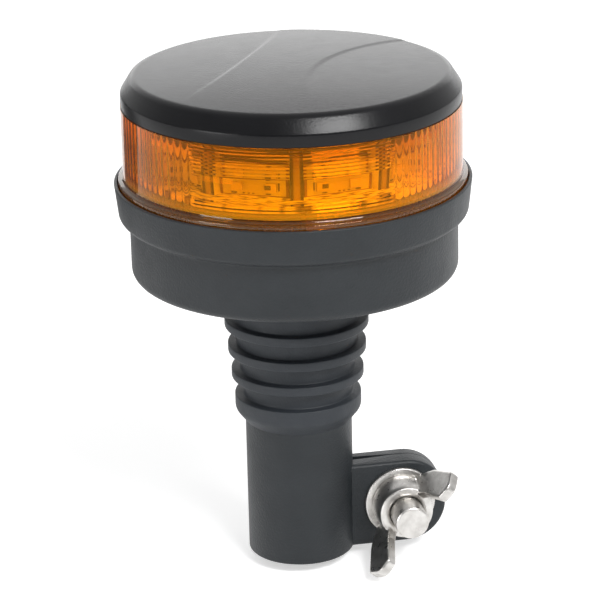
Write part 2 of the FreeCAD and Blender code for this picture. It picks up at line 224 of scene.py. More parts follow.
def smooth_shade(piece, degrees=32):
    """Smooth shading with creases kept where faces meet at more than an angle."""
    select_only(piece)
    bpy.ops.object.shade_smooth_by_angle(angle=math.radians(degrees))


def plate(name, corners, low_y, high_y):
    """An upright plate from (x, z, cut) corners, between two places on Y.
    A cut above 0 rounds its corner, starting that far from it."""
    bpy.ops.object.select_all(action="DESELECT")
    bpy.ops.mesh.primitive_circle_add(vertices=len(corners), radius=mm, fill_type="NGON")
    piece = added(name)
    start_editing(piece)
    shape = bmesh.from_edit_mesh(piece.data)
    shape.verts.ensure_lookup_table()
    for corner, (x, z, cut) in zip(shape.verts, corners):
        corner.co = (x * mm, low_y * mm, z * mm)
    bmesh.update_edit_mesh(piece.data)
    for x, z, cut in corners:
        if cut:
            there = Vector((x, low_y, z))
            choose_corners(piece, lambda place: (place - there).length < same_place)
            bpy.ops.mesh.bevel(offset=cut * mm, segments=plate_corner_steps, affect="VERTICES")
    bpy.ops.mesh.select_all(action="SELECT")
    thickness = (0, (high_y - low_y) * mm, 0)
    bpy.ops.mesh.extrude_region_move(TRANSFORM_OT_translate={"value": thickness})
    finish_shell()
    return piece


def round_plate_rims(piece, low_y, high_y, rounding, segments=3):
    """Round off the outline of a plate on both of its faces."""
    def on_one_rim(ends):
        return any(all(abs(end.y - rim) < same_place for end in ends) for rim in (low_y, high_y))
    start_editing(piece)
    choose_edges(piece, on_one_rim)
    bpy.ops.mesh.bevel(offset=rounding * mm, segments=segments, affect="EDGES")
    bpy.ops.object.mode_set(mode="OBJECT")


def start_material(name):
    """A node material with its shader and the piece's own coordinates at hand."""
    material = bpy.data.materials.new(name)
    material.use_nodes = True
    tree = material.node_tree
    shader = tree.nodes["Principled BSDF"]
    place = tree.nodes.new("ShaderNodeTexCoord").outputs["Object"]
    return material, tree, shader, place


def feed(tree, socket, source):
    """Set a node's socket to a number, or link it to another socket."""
    if isinstance(source, (int, float)):
        socket.default_value = source
    else:
        tree.links.new(source, socket)


def speckle(tree, place, scale, detail=3.0):
    """Noise over the piece's own coordinates; scale counts its grains in a metre."""
    noise = tree.nodes.new("ShaderNodeTexNoise")
    noise.inputs["Scale"].default_value = scale
    noise.inputs["Detail"].default_value = detail
    tree.links.new(place, noise.inputs["Vector"])
    return noise.outputs["Fac"]


def tone(tree, factor, dark, light, low=noise_low, high=noise_high):
    """Colour that runs from dark to light as the factor goes from low to high."""
    ramp = tree.nodes.new("ShaderNodeValToRGB")
    for stop, position, colour in zip(ramp.color_ramp.elements, (low, high), (dark, light)):
        stop.position = position
        stop.color = colour
    tree.links.new(factor, ramp.inputs["Fac"])
    return ramp.outputs["Color"]


def ramped(tree, value, low, high, to_low=0.0, to_high=1.0):
    """Number that runs from to_low to to_high as a value goes from low to high."""
    spread = tree.nodes.new("ShaderNodeMapRange")
    feed(tree, spread.inputs["Value"], value)
    feed(tree, spread.inputs["From Min"], low)
    feed(tree, spread.inputs["From Max"], high)
    feed(tree, spread.inputs["To Min"], to_low)
    feed(tree, spread.inputs["To Max"], to_high)
    return spread.outputs["Result"]


def lay_surface(tree, shader, place, colour, rough, patches, grain, depth, strength=0.5, detail=2.0):
    """Give a shader its colour, a gloss that changes in patches, and a grain of a depth in millimetres.
    rough is the least and most roughness; patches and grain are counted in a metre."""
    tree.links.new(colour, shader.inputs["Base Color"])
    gloss = ramped(tree, speckle(tree, place, patches), noise_low, noise_high, *rough)
    tree.links.new(gloss, shader.inputs["Roughness"])
    bump = tree.nodes.new("ShaderNodeBump")
    bump.inputs["Strength"].default_value = strength
    bump.inputs["Distance"].default_value = depth * mm
    tree.links.new(speckle(tree, place, grain, detail), bump.inputs["Height"])
    tree.links.new(bump.outputs["Normal"], shader.inputs["Normal"])


def grained_plastic(name, dark, light, rough, grain, depth, gloss=0.5):
    """Moulded plastic: slow colour drift, patches of handling shine and an even spark-eroded grain."""
    material, tree, shader, place = start_material(name)
    shader.inputs["Specular IOR Level"].default_value = gloss
    drift = tone(tree, speckle(tree, place, drift_patches), dark, light, drift_low, drift_high)
    lay_surface(tree, shader, place, drift, rough, handled_patches, grain, depth)
    return material


def dress(piece, material, slot, *replaced):
    """Put a material on a piece and hide the solids that it stands for."""
    piece.data.materials.append(material)
    if replaced:
        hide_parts(*replaced)


black_plastic = grained_plastic("black_plastic", black_dark, black_light, rough=(0.44, 0.50),
                                grain=1300, depth=0.35, gloss=0.34)

socket = turned_piece("pole_socket", [
    (bore_radius, 0), (tube_radius, 0), (tube_radius, tube_height), (plug_radius, tube_height),
    (plug_radius, web_top), (plunger_way, web_top), (plunger_way, web_bottom), (chamber_radius, web_bottom),
    (chamber_radius, grip_depth), (bore_radius, grip_depth)], tube_sides)
round_turned_edges(socket, [(tube_radius, 0, mouth_round), (bore_radius, 0, bore_round)])
ear_outline = [(ear_root, ear_low, 0)]
for corner_z, first_turn in ((ear_low + ear_corner, -0.5), (ear_high - ear_corner, 0.0)):
    for step in range(ear_steps + 1):
        angle = math.pi * (first_turn + step / (2 * ear_steps))
        ear_x = ear_end - ear_corner * (1 - math.cos(angle))
        ear_z = corner_z + ear_corner * math.sin(angle)
        ear_outline.append((ear_x, ear_z, 0))
ear_outline.append((ear_root, ear_high, 0))
ears = plate("ears", ear_outline, -ear_front, ear_back)
round_plate_rims(ears, -ear_front, ear_back, ear_round, 4)
combine(socket, ears, "UNION")
slot_tool = plate("slot_tool", [
    (slot_start, slot_bottom, 0), (slot_end, slot_bottom, 0),
    (slot_end, slot_top, 0), (slot_start, slot_top, 0)], -slot_at_tube / 2, slot_at_tube / 2)
start_editing(slot_tool)
for cut_x in (tube_radius, bolt_x):
    bpy.ops.mesh.select_all(action="SELECT")
    bpy.ops.mesh.bisect(plane_co=(cut_x * mm, 0, 0), plane_no=(1, 0, 0))
choose_corners(slot_tool, lambda place: place.x > bolt_x - same_place)
bpy.ops.transform.resize(value=(1, slot_at_tip / slot_at_tube, 1), center_override=(0, 0, 0))
bpy.ops.object.mode_set(mode="OBJECT")
combine(socket, slot_tool, "DIFFERENCE")


def put_on_bolt(piece):
    """Turn a piece made along Z so that it lies along the clamp bolt, its top to the front."""
    piece.rotation_euler = (math.pi / 2, 0, 0)
    piece.location = (bolt_x * mm, 0, bolt_z * mm)
    settle(piece)


hole_tool = turned_piece("hole_tool", [
    (0, -ear_back - past_ears), (bolt_hole_radius, -ear_back - past_ears),
    (bolt_hole_radius, ear_front + past_ears), (0, ear_front + past_ears)], bolt_hole_sides)
put_on_bolt(hole_tool)
combine(socket, hole_tool, "DIFFERENCE")
smooth_shade(socket)
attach(socket, "socket")
dress(socket, black_plastic, "black_plastic", "clamp_socket")

# Clamp bolt: zinc-plated bolt with a low domed head, which bears on the back of the ears.
# It is pushed through from behind, so its plain end stands out of the wing nut.
head_radius = 11.5
head_height = 5.0
# Radius and height over the head's lowest point
head_dome = ((5.0, 0.3), (8.6, 1.2), (10.6, 2.5), (head_radius, 4.0))
head_round = 0.4
shank_radius = 5.6
bolt_end = 27.0
end_chamfer = 0.4
end_round = 0.15
bolt_sides = 64
plating_patches = 300
plating_detail = 4.0
plating_gloss_patches = 500
ripple_grain = 700
ripple_depth = 0.04
ripple_strength = 0.3
ripple_detail = 3.0
zinc_dark = (0.47, 0.455, 0.435, 1.0)
zinc_light = (0.66, 0.645, 0.625, 1.0)


def plated_steel(name, dark, light, rough):
    """Plated steel: mottled plating, patchy gloss and a faintly rippled surface."""
    material, tree, shader, place = start_material(name)
    shader.inputs["Metallic"].default_value = 1.0
    mottling = tone(tree, speckle(tree, place, plating_patches, plating_detail), dark, light)
    lay_surface(tree, shader, place, mottling, rough, plating_gloss_patches, ripple_grain, ripple_depth,
                ripple_strength, ripple_detail)
    return material


zinc_steel = plated_steel("zinc_steel", zinc_dark, zinc_light, rough=(0.26, 0.38))

head_low = -ear_back - head_height
bolt = turned_piece("clamp_bolt_plated", [(0, head_low)]
    + [(radius, head_low + rise) for radius, rise in head_dome]
    + [(head_radius, -ear_back), (shank_radius, -ear_back), (shank_radius, bolt_end - end_chamfer),
       (shank_radius - end_chamfer, bolt_end), (0, bolt_end)], bolt_sides)
round_turned_edges(bolt, [
    (head_radius, -ear_back, head_round), (shank_radius - end_chamfer, bolt_end, end_round)])
put_on_bolt(bolt)
smooth_shade(bolt)
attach(bolt, "socket")
dress(bolt, zinc_steel, "zinc_steel", "clamp_bolt")

# Washer: plain stamped washer under the wing nut, zinc-plated.
# The stamping leaves its outer edge rolled over on the nut's side.
washer_radius = 12.25
washer_hole = 5.85
washer_seat = ear_front
washer_face = 8.7
washer_sides = 96
rolled_edge = 0.5
seat_edge = 0.25
hole_edge = 0.3
washer = turned_piece("washer_plated", [
    (washer_hole, washer_seat), (washer_radius, washer_seat), (washer_radius, washer_face),
    (washer_hole, washer_face)], washer_sides)
round_turned_edges(washer, [
    (washer_radius, washer_face, rolled_edge), (washer_radius, washer_seat, seat_edge),
    (washer_hole, washer_face, hole_edge)])
put_on_bolt(washer)
smooth_shade(washer)
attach(washer, "washer")
dress(washer, zinc_steel, "zinc_steel", "front_washer")

# Wing nut: die-cast and plated, with a tapered hub and two broad wings that end in blunt, slanting tips.
# The casting leaves every edge soft and the wings run into the hub; it is turned by hand.
nut_bore = 5.65
nut_height = 9.5
nut_sides = 96
# Radius and height over the washer
hub_outline = ((nut_bore, 0.0), (9.9, 0.0), (10.2, 0.5), (9.45, 7.9), (9.0, nut_height), (6.7, nut_height),
               (nut_bore, 8.5))
wing_root = 7.4
# Distance from the bolt, height over the washer and length cut off at the corner
wing_outline = ((wing_root, 1.0, 0), (11.6, 1.0, 1.36), (17.4, 7.6, 1.3), (22.4, 19.4, 0.85),
                (18.6, 25.2, 1.94), (13.5, 24.4, 0.6), (9.4, 12.6, 0.48), (wing_root, 9.3, 0))
wing_thickness = 3.5
wing_round = 0.4
wing_angle = 50.2
casting_grain = 0.3
casting_smooth = 0.5
casting_passes = 6
casting_crease = 50


def copied(piece):
    """A copy of an object, with a mesh of its own."""
    twin = piece.copy()
    twin.data = piece.data.copy()
    piece.users_collection[0].objects.link(twin)
    return twin


nut = turned_piece("wing_nut_cast", [(radius, washer_face + rise) for radius, rise in hub_outline], nut_sides)
wing = plate("wing", [(x, washer_face + rise, cut) for x, rise, cut in wing_outline],
             -wing_thickness / 2, wing_thickness / 2)
round_plate_rims(wing, -wing_thickness / 2, wing_thickness / 2, wing_round, 2)
for side, one in enumerate((wing, copied(wing))):
    one.rotation_euler = (0, 0, math.radians(wing_angle + 180 * side))
    settle(one)
    combine(nut, one, "UNION")
apply_change(nut, "REMESH", mode="VOXEL", voxel_size=casting_grain * mm)
apply_change(nut, "SMOOTH", factor=casting_smooth, iterations=casting_passes)
put_on_bolt(nut)
smooth_shade(nut, casting_crease)
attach(nut, "wing_nut")
dress(nut, zinc_steel, "zinc_steel", "wing_nut")

# Contacts in the socket: an insulating cup that is pressed in, and a turned brass plunger.
# They stay as drawn in the solids and get their finishes here.
brass_dark = (0.50, 0.36, 0.13, 1.0)
brass_light = (0.72, 0.55, 0.24, 1.0)
inner_dark = (0.075, 0.075, 0.08, 1.0)
inner_light = (0.12, 0.12, 0.125, 1.0)


def finish_node(name, material):
    """Give a carried-over solid its finish."""
    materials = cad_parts[name].data.materials
    materials.clear()
    materials.append(material)


contact_brass = plated_steel("contact_brass", brass_dark, brass_light, rough=(0.22, 0.36))
inner_plastic = grained_plastic("inner_plastic", inner_dark, inner_light, rough=(0.45, 0.6),
                                grain=1800, depth=0.03)
finish_node("contact_carrier", inner_plastic)
finish_node("contact_plunger", contact_brass)

# Plunger spring: round steel wire, coiled in four turns over the plunger's flange, under the cup's roof.
# It is pressed together when the plunger moves up.
coil_radius = 3.65
wire_radius = 0.35
wire_sides = 12
coil_low = 46.5
coil_high = 53.8
coil_turns = 4
coil_steps = 28
coil_crease = 60
steel_dark = (0.40, 0.40, 0.41, 1.0)
steel_light = (0.60, 0.60, 0.61, 1.0)
spring_steel = plated_steel("spring_steel", steel_dark, steel_light, rough=(0.25, 0.4))
coil_rise = (coil_high - coil_low - 2 * wire_radius) / coil_turns
bpy.ops.object.select_all(action="DESELECT")
bpy.ops.mesh.primitive_circle_add(vertices=wire_sides, radius=wire_radius * mm, rotation=(math.pi / 2, 0, 0),
                                  location=(coil_radius * mm, 0, (coil_low + wire_radius) * mm))
spring = added("plunger_spring_coil")
apply_change(spring, "SCREW", angle=2 * math.pi, iterations=coil_turns, screw_offset=coil_rise * mm,
             steps=coil_steps, render_steps=coil_steps, axis="Z")
start_editing(spring)
choose_open_edges()
bpy.ops.mesh.fill_holes(sides=0)
finish_shell()
smooth_shade(spring, coil_crease)
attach(spring, "socket")
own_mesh(spring)
dress(spring, spring_steel, "spring_steel", "plunger_spring")

# Flexible neck: one ribbed rubber moulding, stretched over the tube and screwed to the base by its flange.
# It is divided at its middle ring, as in the solids.
collar_bottom = 47.8
collar_wide = 52.0
collar_top = 57.2
collar_radius = 21.3
collar_round = 1.0
groove_radii = (18.4, 19.36, 20.31, 21.27)
groove_round = 0.5
groove_steps = 4
top_groove_steps = 6
ring_radii = (22.26, 23.21, 24.17)
ring_lows = (63.2, 72.3, 81.4)
ring_highs = (66.3, 75.4, 84.5)
rib_round = 0.4
ring_inset = 0.3
flange_bottom = 96.1
flange_top = 100.6
flange_radius = 27.7
flange_root = 1.0
flange_round = 0.6
lead_way = 2.7
bore_steps = 12
rubber_dark = (0.0180, 0.0216, 0.0268, 1.0)
rubber_light = (0.0256, 0.0304, 0.0364, 1.0)
neck_rubber = grained_plastic("neck_rubber", rubber_dark, rubber_light, rough=(0.5, 0.6),
                              grain=1400, depth=0.2, gloss=0.4)


def straight_wall(radius, low, high, steps):
    """Stations along a straight wall, close enough together for it to bend smoothly."""
    return [(radius, low + (high - low) * step / steps) for step in range(steps + 1)]


def rib_edges(ring):
    """Edges to round on one rib, with the grooves under it and over it."""
    low = ring_lows[ring]
    high = ring_highs[ring]
    return [(groove_radii[ring], low, groove_round), (ring_radii[ring], low, rib_round),
            (ring_radii[ring], high, rib_round), (groove_radii[ring + 1], high, groove_round)]


lower = turned_piece("neck_lower_rubber", [
    (tube_radius, collar_bottom), (collar_radius, collar_wide), (collar_radius, collar_top)]
    + straight_wall(groove_radii[0], collar_top, ring_lows[0], groove_steps)
    + [(ring_radii[0], ring_lows[0]), (ring_radii[0], ring_highs[0])]
    + straight_wall(groove_radii[1], ring_highs[0], ring_lows[1], groove_steps)
    + straight_wall(lead_way, ring_lows[1], tube_height, bore_steps)
    + [(tube_radius, tube_height)], tube_sides)
round_turned_edges(lower, [
    (collar_radius, collar_wide, collar_round), (collar_radius, collar_top, rib_round),
    (groove_radii[0], collar_top, groove_round)] + rib_edges(0))
smooth_shade(lower)
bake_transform(lower)
dress(lower, neck_rubber, "neck_rubber", "neck_lower")

middle = turned_piece("neck_ring_rubber", [
    (lead_way, ring_lows[1]), (groove_radii[1] - ring_inset, ring_lows[1]), (ring_radii[1], ring_lows[1]),
    (ring_radii[1], ring_highs[1]), (groove_radii[2] - ring_inset, ring_highs[1]),
    (lead_way, ring_highs[1])], tube_sides)
round_turned_edges(middle, [
    (ring_radii[1], ring_lows[1], rib_round), (ring_radii[1], ring_highs[1], rib_round)])
smooth_shade(middle)
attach(middle, "neck_mid")
dress(middle, neck_rubber, "neck_rubber", "neck_ring")

upper = turned_piece("neck_upper_rubber",
    straight_wall(groove_radii[2], ring_highs[1], ring_lows[2], groove_steps)
    + [(ring_radii[2], ring_lows[2]), (ring_radii[2], ring_highs[2])]
    + straight_wall(groove_radii[3], ring_highs[2], flange_bottom, top_groove_steps)
    + [(flange_radius, flange_bottom), (flange_radius, flange_top)]
    + straight_wall(lead_way, flange_top, ring_highs[1], bore_steps), tube_sides)
round_turned_edges(upper, rib_edges(2) + [
    (groove_radii[3], flange_bottom, flange_root), (flange_radius, flange_bottom, flange_round)])
smooth_shade(upper)
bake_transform(upper)
dress(upper, neck_rubber, "neck_rubber", "neck_upper")

# Inner lead: a round sheathed cable from the contacts up to the driver board's plug, loose in the neck.
# It is in two lengths that meet at the middle ring, as in the solids.
lead_radius = 2.5
lead_bottom = 55.0
lead_meeting = 73.85
lead_top = 106.6
lead_round = 0.15
lead_sides = 32
sheath_dark = (0.012, 0.012, 0.013, 1.0)
sheath_light = (0.026, 0.026, 0.028, 1.0)
lead_sheath = grained_plastic("lead_sheath", sheath_dark, sheath_light, rough=(0.5, 0.65),
                              grain=1500, depth=0.03)
lower_lead = turned_piece("lead_lower_length", [(0, lead_bottom)]
    + straight_wall(lead_radius, lead_bottom, lead_meeting, bore_steps) + [(0, lead_meeting)], lead_sides)
round_turned_edges(lower_lead, [(lead_radius, lead_bottom, lead_round)])
smooth_shade(lower_lead)
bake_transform(lower_lead)
dress(lower_lead, lead_sheath, "lead_sheath", "cable_lower")

upper_lead = turned_piece("lead_upper_length", [(0, lead_meeting)]
    + straight_wall(lead_radius, lead_meeting, lead_top, 2 * bore_steps) + [(0, lead_top)], lead_sides)
round_turned_edges(upper_lead, [(lead_radius, lead_top, lead_round)])
smooth_shade(upper_lead)
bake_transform(upper_lead)
dress(upper_lead, lead_sheath, "lead_sheath", "cable_upper")

# Base housing: a cup with a wide rim, of the same black nylon as the socket, with a sunk seat for the lens.
# It is screwed to the neck's flange from inside.
body_radius = 54.2
body_round = 3.3
floor_top = 103.6
rim_bottom = 120.4
rim_root = 1.2
rim_low_radius = 57.6
rim_low = 121.3
rim_low_round = 1.5
rim_radius = 58.9
rim_top = 133.1
rim_top_round = 0.5
lip_radius = 57.7
lip_round = 0.35
seat = 130.0
housing_inner = 51.6
housing_sides = 192
housing_round_steps = 6
housing = turned_piece("base_housing_shell", [
    (lead_way, flange_top), (body_radius, flange_top), (body_radius, rim_bottom), (rim_low_radius, rim_low),
    (rim_radius, rim_top), (lip_radius, rim_top), (lip_radius, seat), (housing_inner, seat),
    (housing_inner, floor_top), (lead_way, floor_top)], housing_sides)
round_turned_edges(housing, [
    (body_radius, flange_top, body_round), (rim_low_radius, rim_low, rim_low_round),
    (body_radius, rim_bottom, rim_root), (rim_radius, rim_top, rim_top_round),
    (lip_radius, rim_top, lip_round)], housing_round_steps)
smooth_shade(housing)
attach(housing, "head")
dress(housing, black_plastic, "black_plastic", "base_housing")
finish_node("neck_screws", spring_steel)

# Base screws: three steel pan-head screws with a cross recess, driven up through the floor into the deck.
# Their heads are all that shows, under the base.
screw_circle = 40.02
screw_turns = (30, 150, 270)
screw_head = 3.7
screw_head_height = 2.6
# Radius and height over the head's lowest point
screw_dome = ((1.6, 0.05), (2.8, 0.45), (3.4, 1.1), (screw_head, 1.9))
screw_shank = 2.0
screw_length = 11.9
screw_point = 2.0
screw_sides = 32
recess_length = 4.2
recess_width = 1.0
recess_depth = 1.4


def joined(pieces, name):
    """Make several objects one piece."""
    bpy.ops.object.select_all(action="DESELECT")
    for one in pieces:
        one.select_set(True)
    bpy.context.view_layer.objects.active = pieces[0]
    bpy.ops.object.join()
    piece = bpy.context.object
    piece.name = name
    return piece


screw_low = flange_top - screw_head_height
first_screw = turned_piece("base_screw", [(0, screw_low)]
    + [(radius, screw_low + rise) for radius, rise in screw_dome]
    + [(screw_head, flange_top), (screw_shank, flange_top),
       (screw_shank, flange_top + screw_length - screw_point), (0, flange_top + screw_length)], screw_sides)
bpy.ops.object.select_all(action="DESELECT")
bpy.ops.mesh.primitive_cube_add(size=1, location=(0, 0, screw_low * mm),
                                scale=(recess_width * mm, recess_width * mm, 2 * recess_depth * mm))
recess_tool = added("recess_tool")
start_editing(recess_tool)
bpy.ops.mesh.select_mode(type="FACE")
bpy.ops.mesh.select_all(action="DESELECT")
shape = bmesh.from_edit_mesh(recess_tool.data)
for face in shape.faces:
    face.select_set(round(face.normal.z) == 0)
bmesh.update_edit_mesh(recess_tool.data)
arm_length = (recess_length - recess_width) / 2
bpy.ops.mesh.extrude_faces_move(TRANSFORM_OT_shrink_fatten={"value": arm_length * mm})
finish_shell()
combine(first_screw, recess_tool, "DIFFERENCE")
start_editing(first_screw)
bpy.ops.mesh.select_all(action="SELECT")
bpy.ops.mesh.remove_doubles(threshold=same_place * mm)
bpy.ops.object.mode_set(mode="OBJECT")
three_screws = (first_screw, copied(first_screw), copied(first_screw))
for one, degrees in zip(three_screws, screw_turns):
    one.location = (screw_circle * math.cos(math.radians(degrees)) * mm,
                    screw_circle * math.sin(math.radians(degrees)) * mm, 0)
    settle(one)
screws = joined(three_screws, "base_screws_pan_head")
smooth_shade(screws)
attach(screws, "head")
dress(screws, spring_steel, "spring_steel", "base_screws")

# Driver board: green glass-fibre board on two posts in the housing, with capacitors, coil, chips and plug.
# The parts are soldered on, the board is screwed down, and all stay as drawn in the solids.
board_dark = (0.012, 0.10, 0.04, 1.0)
board_light = (0.022, 0.15, 0.06, 1.0)
white_dark = (0.76, 0.76, 0.73, 1.0)
white_light = (0.88, 0.88, 0.85, 1.0)
board_green = grained_plastic("board_green", board_dark, board_light, rough=(0.25, 0.4),
                              grain=1200, depth=0.02)
capacitor_can = plated_steel("capacitor_can", steel_light, zinc_light, rough=(0.2, 0.34))
white_plastic = grained_plastic("white_plastic", white_dark, white_light, rough=(0.35, 0.5),
                                grain=1500, depth=0.02)
finish_node("driver_board", board_green)
finish_node("board_screws", spring_steel)
finish_node("filter_capacitors", capacitor_can)
finish_node("power_inductor", inner_plastic)
finish_node("driver_chips", inner_plastic)
finish_node("wire_connector", white_plastic)

# LED carrier: a flat-sided drum of white plastic that holds ten boards, each with two LEDs, behind the lens.
# The boards are clipped between its corner posts, whose outer faces are dark, and a band of painted shade
# darkens their edges for the gaps round them.
# The deck under the drum is lacquered white on top, and fine dark streaks of painted shade run round it.
drum_rough = (0.35, 0.5)
drum_patches = 200
drum_grain = 1500
drum_grain_depth = 0.02
drum_grain_strength = 0.4
drum_drift = 90
post_face_from = 46.4
post_width = 4.2
post_margin = 0.1
post_turn = -99.4
post_spacing = 36.0
post_fade = (0.35, 0.6)
post_dark = (0.035, 0.030, 0.026, 1.0)
post_light = (0.31, 0.24, 0.17, 1.0)
deck_white_from = 136.65
# Colour of the painted shade in the fine streaks on the deck's top
streak_shade = (0.17, 0.14, 0.10, 1.0)
streak_count = 900
streak_per_radian = 12.0
streak_detail = 1.0
streak_fade = (0.36, 0.52)
board_turn = -81.4
board_low = 138.95
board_high = 146.45
board_side_from = 13.65
resist_dark = (0.48, 0.48, 0.455, 1.0)
resist_light = (0.61, 0.61, 0.575, 1.0)
# Colour of the painted shade along the edges of each LED board, for the gaps round it
edge_shade_dark = (0.16, 0.09, 0.035, 1.0)
edge_shade_light = (0.24, 0.14, 0.06, 1.0)
edge_shade_patches = 400
resin_dark = (0.56, 0.50, 0.34, 1.0)
resin_light = (0.66, 0.60, 0.42, 1.0)
led_resin = grained_plastic("led_resin", resin_dark, resin_light, rough=(0.1, 0.2), grain=900, depth=0.02)


def reckon(tree, operation, first, second):
    """One step of arithmetic between two sockets or numbers."""
    step = tree.nodes.new("ShaderNodeMath")
    step.operation = operation
    feed(tree, step.inputs[0], first)
    feed(tree, step.inputs[1], second)
    return step.outputs[0]


def about_axis(tree, place):
    """Distance from the object's upright axis, turn about it and height, as sockets."""
    flat = tree.nodes.new("ShaderNodeVectorMath")
    flat.operation = "MULTIPLY"
    flat.inputs[1].default_value = (1, 1, 0)
    tree.links.new(place, flat.inputs[0])
    length = tree.nodes.new("ShaderNodeVectorMath")
    length.operation = "LENGTH"
    tree.links.new(flat.outputs["Vector"], length.inputs[0])
    split = tree.nodes.new("ShaderNodeSeparateXYZ")
    tree.links.new(place, split.inputs["Vector"])
    turn = reckon(tree, "ARCTAN2", split.outputs["Y"], split.outputs["X"])
    return length.outputs["Value"], turn, split.outputs["Z"]


def from_nearest(tree, turn, first, spacing):
    """Angle from the nearest of the places that follow one another round the axis, in radians."""
    from_first = reckon(tree, "SUBTRACT", turn, math.radians(first))
    return reckon(tree, "PINGPONG", from_first, math.radians(spacing / 2))


def blended(tree, factor, first, second):
    """Colour socket that goes from the first to the second colour socket with the factor."""
    mix = tree.nodes.new("ShaderNodeMix")
    mix.data_type = "RGBA"
    tree.links.new(factor, mix.inputs["Factor"])
    tree.links.new(first, mix.inputs["A"])
    tree.links.new(second, mix.inputs["B"])
    return mix.outputs["Result"]


def lay_drum_surface(tree, shader, place, colour):
    """The fine matt surface that the drum, its boards and the deck share, in a colour."""
    lay_surface(tree, shader, place, colour, drum_rough, drum_patches, drum_grain, drum_grain_depth,
                drum_grain_strength)


carrier_plastic, tree, shader, place = start_material("carrier_plastic")
reach, turn, height = about_axis(tree, place)
sideways = reckon(tree, "MULTIPLY", from_nearest(tree, turn, post_turn, post_spacing), reach)
outside = reckon(tree, "GREATER_THAN", reach, post_face_from * mm)
beside = reckon(tree, "LESS_THAN", sideways, (post_width / 2 + post_margin) * mm)
on_post = reckon(tree, "MULTIPLY", outside, beside)
across = reckon(tree, "DIVIDE", sideways, post_width / 2 * mm)
drum_white = tone(tree, speckle(tree, place, drum_drift), white_dark, white_light)
post_brown = tone(tree, across, post_light, post_dark, *post_fade)
lay_drum_surface(tree, shader, place, blended(tree, on_post, drum_white, post_brown))
finish_node("led_carrier", carrier_plastic)

deck_plastic, tree, shader, place = start_material("deck_plastic")
reach, turn, height = about_axis(tree, place)
deck_grey = tone(tree, speckle(tree, place, drum_drift), inner_dark, inner_light)
# Painted shade: fine dark streaks run round the deck's white top
round_about = tree.nodes.new("ShaderNodeCombineXYZ")
feed(tree, round_about.inputs["X"], reach)
feed(tree, round_about.inputs["Y"], reckon(tree, "MULTIPLY", turn, streak_per_radian * mm))
painted_streaks = speckle(tree, round_about.outputs["Vector"], streak_count, streak_detail)
streaked_deck_white = tone(tree, painted_streaks, streak_shade, white_light, *streak_fade)
lacquered = reckon(tree, "GREATER_THAN", height, deck_white_from * mm)
lay_drum_surface(tree, shader, place, blended(tree, lacquered, deck_grey, streaked_deck_white))
finish_node("reflector_deck", deck_plastic)

board_white, tree, shader, place = start_material("board_white")
reach, turn, height = about_axis(tree, place)
from_middle = from_nearest(tree, turn, board_turn, post_spacing)
at_side = reckon(tree, "GREATER_THAN", from_middle, math.radians(board_side_from))
at_foot = reckon(tree, "LESS_THAN", height, board_low * mm)
at_top = reckon(tree, "GREATER_THAN", height, board_high * mm)
at_edge = reckon(tree, "MAXIMUM", at_side, reckon(tree, "MAXIMUM", at_foot, at_top))
resist = tone(tree, speckle(tree, place, drum_drift), resist_dark, resist_light)
# Painted shade: each board's edges are darkened for the gaps round it
edge_shade = tone(tree, speckle(tree, place, edge_shade_patches), edge_shade_dark, edge_shade_light)
lay_drum_surface(tree, shader, place, blended(tree, at_edge, resist, edge_shade))
finish_node("led_boards", board_white)
finish_node("led_chips", led_resin)

# Small parts on the LED boards: a dark die on one LED, a diode and a row of resistors, soldered flat.
# Neighbouring boards are mirror images of one another.
board_count = 10
board_face = 42.04
part_round = 0.08
# Place along the board, height, width, tallness and thickness
part_rows = ((4.6, 142.8, 2.0, 1.9, 1.3), (4.6, 146.1, 1.4, 0.7, 0.5), (-6.6, 139.8, 1.7, 0.7, 0.5),
             (-3.5, 139.7, 0.7, 0.5, 0.4), (-1.9, 139.7, 0.7, 0.5, 0.4), (-0.4, 139.7, 0.7, 0.5, 0.4),
             (4.5, 139.7, 1.6, 0.5, 0.4), (8.0, 143.0, 0.4, 3.4, 0.3))
board_sets = []
for mirror in (-1, 1):
    parts = []
    for along, up, width, tall, thick in part_rows:
        middle_x = board_face + thick / 2
        bpy.ops.object.select_all(action="DESELECT")
        bpy.ops.mesh.primitive_cube_add(size=1, location=(middle_x * mm, along * mirror * mm, up * mm),
                                        scale=(thick * mm, width * mm, tall * mm))
        part = added("board_part")
        start_editing(part)
        bpy.ops.mesh.select_all(action="SELECT")
        bpy.ops.mesh.bevel(offset=part_round * mm, segments=1, affect="EDGES")
        bpy.ops.object.mode_set(mode="OBJECT")
        parts.append(part)
    board_sets.append(joined(parts, "board_set"))
fitted_sets = []
for board in range(board_count):
    one = copied(board_sets[board % 2])
    one.rotation_euler = (0, 0, math.radians(board_turn + post_spacing * board))
    settle(one)
    fitted_sets.append(one)
for one in board_sets:
    bpy.data.objects.remove(one)
soldered = joined(fitted_sets, "led_board_parts")
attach(soldered, "head")
dress(soldered, inner_plastic, "inner_plastic")

# Lens: amber acrylic ring with a foot flange that lies in the housing's seat and sweeps up into the wall.
# Its inside has fine upright flutes on both sides; the windows to front and back have level ribs.
# The foot is polished and the wall just above it is a little matt; a deeper amber is painted as shade on the
# sides, under the cap and just above the foot.
foot_radius = 57.4
foot_bottom = 130.0
foot_top = 134.5
foot_round = 0.4
lens_radius = 55.8
lens_inner = 53.2
lens_top = 159.0
# Radius and height over the foot's top
foot_sweep = ((56.75, 0.1), (56.2, 0.45), (55.9, 0.95), (lens_radius, 1.6))
flute_depth = 0.3
flute_pitch = 3.0
flute_parts = 4
rib_pitch = 1.2
rib_depth = 0.22
rib_parts = 4
# Lowest rib line and number of ribs
rib_zones = ((131.4, 8), (148.2, 8))
